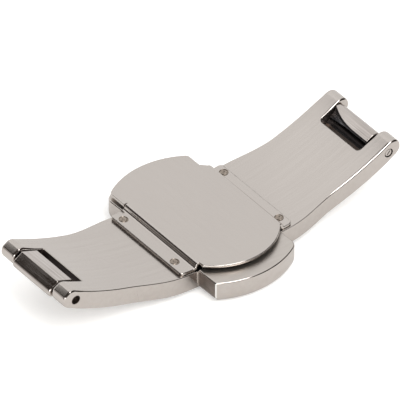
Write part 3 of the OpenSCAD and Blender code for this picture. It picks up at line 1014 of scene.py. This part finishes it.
class CLASP_OT_wings(bpy.types.Operator):
    """Wings: the two folding arms, with the knuckles that show in the notches and the bars' ears"""

    bl_idname = "clasp.wings"
    bl_label = "Wings"

    def execute(self, context):
        size = sizes()
        for name, side in SIDES.items():

            def placed(points):
                return [(side * p[0], p[1]) for p in points]

            outline = placed(wing_outline(KNUCKLES[name]))
            piece = made_of(prism(outline, -WING_HALF, WING_HALF), f"{name}_wing_shell")
            ear = prism(placed(circle(BAR, EAR_RADIUS)), -WING_HALF, WING_HALF)
            carve(piece, ear, "UNION")
            fork = [(x, -WING_CUT) for x in (FORK_START, FORK_END)]
            fork += [(x, WING_CUT) for x in (FORK_END, FORK_START)]
            carve(piece, prism(placed(fork), -FORK_HALF, FORK_HALF))
            holes = [(BAR, BAR_HOLE), ((HINGE[0], HINGE[2]), PIN_RADIUS + WING_PLAY)]
            for centre, radius in holes:
                carve(piece, prism(placed(circle(centre, radius)), -WING_CUT, WING_CUT))
            wall = KNUCKLES[name][0][0] - KNUCKLES[name][0][2]
            if name == "right":
                carve(piece, scoop())
            soften(piece, size["wing_edge"], lambda middle: knuckle_share(name, middle))

            # The skin down the arm from each knuckle gets painted shade
            def dimmed(centre, normal):
                return BRUSHED_END < from_hinge(centre)[0] < wall - HOLLOW

            # The pocket beside each knuckle and the scoop get painted shade and dark reflection
            def recess(centre, normal):
                along, up = from_hinge(centre)
                pocket = wall - HOLLOW < along < wall + POCKET_OVER and 0 < up < POCKET_TOP
                away = math.hypot(along - scoop_axis(centre.y), up - SCOOP_UP)
                scooped = name == "right" and away < SCOOP_RADIUS + SCOOP_RIM
                return (pocket or scooped) and abs(normal.y) < FACING

            paint(piece, 3, lambda centre, normal: from_hinge(centre)[0] < BRUSHED_END)
            paint(piece, 1, dimmed)
            paint(piece, 2, recess)
            finishes = [drawn(), painted_shade(), painted_hollow_shade(), brushed()]
            hand_over(piece, f"{name}_wing", "polished_steel", finishes, f"{name}_wing")
        return {"FINISHED"}


class CLASP_OT_hinge_pins(bpy.types.Operator):
    """Hinge pins: two turned pins with bevelled rims, each slotted at one end"""

    bl_idname = "clasp.hinge_pins"
    bl_label = "Hinge pins"

    def execute(self, context):
        size = sizes()
        for name, side in SIDES.items():
            low, high = (corner.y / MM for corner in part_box(f"{name}_hinge_pin"))
            centre = (side * HINGE[0], HINGE[2])
            # The near end of the right pin lies nearly flush, that of the left one sits deep
            near = low + PIN_DEPTH if name == "left" else PIN_PLAY - ARM_HALF
            rod = prism(circle(centre, PIN_RADIUS - PIN_PLAY), near, high - PIN_DEPTH)
            piece = made_of(rod, f"{name}_hinge_pin_turned")
            slotted = low if side > 0 else high
            half = size["pin_slot"] / 2
            reach = PIN_RADIUS * SLOT_REACH
            shape = [(-half, -reach), (half, -reach), (half, reach), (-half, reach)]
            slot = prism(shape, slotted - SLOT_DEPTH, slotted + SLOT_DEPTH)
            turn = Matrix.Rotation(PIN_TURN, 4, "Y")
            slot.transform(Matrix.Translation((centre[0], 0, centre[1])) @ turn)
            carve(piece, slot)

            def rim(middle):
                away = math.hypot(middle.x - centre[0], middle.z - centre[1])
                return 1.0 if away > PIN_RADIUS - 2 * PIN_PLAY else 0.0

            soften(piece, PIN_RIM, rim)
            # The pin's length inside the bore gets painted shade, which shows as a dark ring round
            # its rim
            inside = (near + HAIR, high - PIN_DEPTH - HAIR)
            paint(piece, 1, lambda centre, normal: inside[0] < centre.y < inside[1])
            hand_over(piece, "base", "turned_steel", [polished(), painted_shade()], f"{name}_hinge_pin")
        return {"FINISHED"}


class CLASP_OT_hidden_steel(bpy.types.Operator):
    """Screws, catch spring and spring bars: carried over from the frame with their finishes"""

    bl_idname = "clasp.hidden_steel"
    bl_label = "Screws, spring and bars"

    def execute(self, context):
        finishes = {
            ("screws", "tube"): turned,
            ("tip",): polished,
            ("coil", "catch_spring"): spring,
        }
        for name, node in frame["nodes"].items():
            for endings, finish in finishes.items():
                if name.endswith(endings):
                    node.data.materials.clear()
                    node.data.materials.append(finish())
        return {"FINISHED"}


# Stage

CAMERA_TURN, CAMERA_RISE, CAMERA_ROLL = -37.398, 38.433, 0.344
CAMERA_AWAY = 1.61561
CAMERA_LENS = 1274.7
CAMERA_SLIDE = (-0.000156, 0.00264)
# The floor's radius, its glow for the camera, and how much darker the steel sees its paper
FLOOR_RADIUS = 3.0
PAPER_GLOW = 0.25
DULL_PAPER = 0.8
# What the steel sees of the studio: the ways of its two unlit parts and the levels of each part.
# Each level holds where it begins and where it is full, and the strengths there.
UNLIT_WAYS = [(-1.0, -0.46, 0.0), (0.8, -0.6, 0.0)]
UNLIT_LEVELS = [(0.01, 0.05, 0.0, 1.0), (0.5, 0.6, 0.0, 1.0)]
# Low and towards the back the unlit parts are grey instead, and the walls get weaker to the right
LOW_GREY = "#BDBAB8"
GREY_LEVELS = [(0.42, 0.08, 0.0, 1.0), (0.0, 0.2, 0.0, 1.0)]
WALL_LEVELS = (-0.3, 0.8, 1.06, 0.94)
# The lamps: name, the way it stands, width, height and power, all at one distance
LAMP_AWAY = 0.5
LAMPS = [
    ("key softbox", (0.0, -0.62, 0.78), 0.26, 0.34, 1.3),
    ("low softbox", (-0.6, -0.75, 0.24), 0.3, 0.24, 1.0),
]


def stage_world(surround, gap):
    """White behind the clasp; what the steel reflects is a light studio with two unlit sides."""
    world = bpy.data.worlds.new("studio")
    bpy.context.scene.world = world
    world.use_nodes = True
    tree = world.node_tree
    tree.nodes.clear()
    way = add(tree, "ShaderNodeTexCoord").outputs["Generated"]
    axes = add(tree, "ShaderNodeSeparateXYZ", {}, {0: way}).outputs
    facing = [
        add(tree, "ShaderNodeVectorMath", {"operation": "DOT_PRODUCT"}, {0: way, 1: direction})
        for direction in UNLIT_WAYS
    ]
    values = [share.outputs["Value"] for share in facing] + [axes["Z"], axes["Y"], axes["X"]]
    ramps = []
    for value, levels in zip(values, [*UNLIT_LEVELS, *GREY_LEVELS, WALL_LEVELS]):
        limits = dict(zip(("From Min", "From Max", "To Min", "To Max"), levels), Value=value)
        smooth = add(tree, "ShaderNodeMapRange", {"interpolation_type": "SMOOTHSTEP"}, limits)
        ramps.append(smooth.outputs[0])
    left, front, low, back, bright = ramps
    unlit = add(tree, "ShaderNodeMath", {"operation": "MAXIMUM"}, {0: left, 1: front})
    faint = add(tree, "ShaderNodeMath", {"operation": "MULTIPLY"}, {0: low, 1: back})
    wall = {0: list(surround), "Scale": bright}
    lit = add(tree, "ShaderNodeVectorMath", {"operation": "SCALE"}, wall)
    greys = {0: faint.outputs[0], 6: list(gap) + [1.0], 7: linear(LOW_GREY) + [1.0]}
    shade = add(tree, "ShaderNodeMix", {"data_type": "RGBA"}, greys)
    studio = {0: unlit.outputs[0], 6: lit.outputs[0], 7: shade.outputs[2]}
    mirror = add(tree, "ShaderNodeMix", {"data_type": "RGBA"}, studio)
    path = add(tree, "ShaderNodeLightPath").outputs
    seen = {0: path["Is Glossy Ray"], 6: (1.0, 1.0, 1.0, 1.0), 7: mirror.outputs[2]}
    shown = add(tree, "ShaderNodeMix", {"data_type": "RGBA"}, seen)
    light = add(tree, "ShaderNodeBackground", {}, {"Color": shown.outputs[2], "Strength": 1.0})
    add(tree, "ShaderNodeOutputWorld", {}, {"Surface": light.outputs[0]})


def stage_floor(colour):
    """A plain pale floor that looks white to the camera and keeps the clasp's shadow."""
    bm = bmesh.new()
    bmesh.ops.create_circle(bm, cap_ends=True, segments=64, radius=FLOOR_RADIUS)
    floor = made_of(bm, "floor")
    material = bpy.data.materials.new("Matt paper")
    material.use_nodes = True
    tree = material.node_tree
    tree.nodes.clear()
    seen = add(tree, "ShaderNodeLightPath").outputs["Is Camera Ray"]
    paper = add(tree, "ShaderNodeBsdfDiffuse", {}, {"Color": list(colour) + [1.0]})
    glow = add(tree, "ShaderNodeEmission", {}, {"Color": (1, 1, 1, 1), "Strength": PAPER_GLOW})
    lit = add(tree, "ShaderNodeAddShader", {}, {0: paper.outputs[0], 1: glow.outputs[0]})
    dimmed = add(
        tree, "ShaderNodeBsdfDiffuse", {}, {"Color": [v * DULL_PAPER for v in colour] + [1.0]}
    )
    both = add(tree, "ShaderNodeMixShader", {}, {0: seen, 1: dimmed.outputs[0], 2: lit.outputs[0]})
    add(tree, "ShaderNodeOutputMaterial", {}, {"Surface": both.outputs[0]})
    floor.data.materials.append(material)


def stage_lamp(name, towards, wide, high, energy):
    """A soft lamp that faces the clasp."""
    lamp = bpy.data.lights.new(name, "AREA")
    lamp.shape = "RECTANGLE"
    lamp.size, lamp.size_y = wide, high
    lamp.energy = energy
    placed = bpy.data.objects.new(name, lamp)
    bpy.context.scene.collection.objects.link(placed)
    placed.location = Vector(towards).normalized() * LAMP_AWAY
    placed.rotation_euler = placed.location.to_track_quat("Z", "Y").to_euler()


def stage_camera():
    """The camera at the photograph's angle, far off with a long lens."""
    turn, rise = math.radians(CAMERA_TURN), math.radians(CAMERA_RISE)
    flat = math.cos(rise)
    back = Vector((math.sin(turn) * flat, -math.cos(turn) * flat, math.sin(rise)))
    level = Vector((math.cos(turn), math.sin(turn), 0))
    roll = Matrix.Rotation(math.radians(CAMERA_ROLL), 3, back)
    right = roll @ level
    up = roll @ back.cross(level)
    data = bpy.data.cameras.new("camera")
    data.lens = CAMERA_LENS
    data.clip_start, data.clip_end = 0.05, 50
    camera = bpy.data.objects.new("camera", data)
    bpy.context.scene.collection.objects.link(camera)
    aim = Vector((0, 0, WRIST_FACE * MM)) + right * CAMERA_SLIDE[0] + up * CAMERA_SLIDE[1]
    axes = Matrix((right, up, back)).transposed().to_4x4()
    camera.matrix_world = Matrix.Translation(aim + back * CAMERA_AWAY) @ axes
    bpy.context.scene.camera = camera


class CLASP_OT_stage(bpy.types.Operator):
    """Stage: pale floor, soft studio light and the camera"""

    bl_idname = "clasp.stage"
    bl_label = "Stage"

    def execute(self, context):
        colours = context.scene.clasp_colours
        stage_world(colours.surround, colours.gap)
        stage_floor(colours.floor)
        for lamp in LAMPS:
            stage_lamp(*lamp)
        stage_camera()
        context.scene.view_settings.view_transform = "Standard"
        return {"FINISHED"}


PIECES = [
    CLASP_OT_base_plate,
    CLASP_OT_inner_plate,
    CLASP_OT_rivets,
    CLASP_OT_outer_cover,
    CLASP_OT_wings,
    CLASP_OT_hinge_pins,
    CLASP_OT_hidden_steel,
    CLASP_OT_stage,
]


class CLASP_PT_pieces(bpy.types.Panel):
    """Lists the clasp's sizes, colours and pieces"""

    bl_label = "Folding clasp"
    bl_idname = "CLASP_PT_pieces"
    bl_space_type = "VIEW_3D"
    bl_region_type = "UI"
    bl_category = "Clasp"

    def draw(self, context):
        for group in (context.scene.clasp_sizes, context.scene.clasp_colours):
            for name in type(group).__annotations__:
                self.layout.prop(group, name)
        for piece in PIECES:
            self.layout.operator(piece.bl_idname)


CLASSES = [ClaspSizes, ClaspColours, *PIECES, CLASP_PT_pieces]


def register():
    for cls in CLASSES:
        bpy.utils.register_class(cls)
    bpy.types.Scene.clasp_sizes = PointerProperty(type=ClaspSizes)
    bpy.types.Scene.clasp_colours = PointerProperty(type=ClaspColours)


def unregister():
    del bpy.types.Scene.clasp_colours
    del bpy.types.Scene.clasp_sizes
    for cls in reversed(CLASSES):
        bpy.utils.unregister_class(cls)


def main():
    register()
    for piece in PIECES:
        getattr(bpy.ops.clasp, piece.bl_idname.split(".")[1])()


if __name__ == "__main__":
    main()
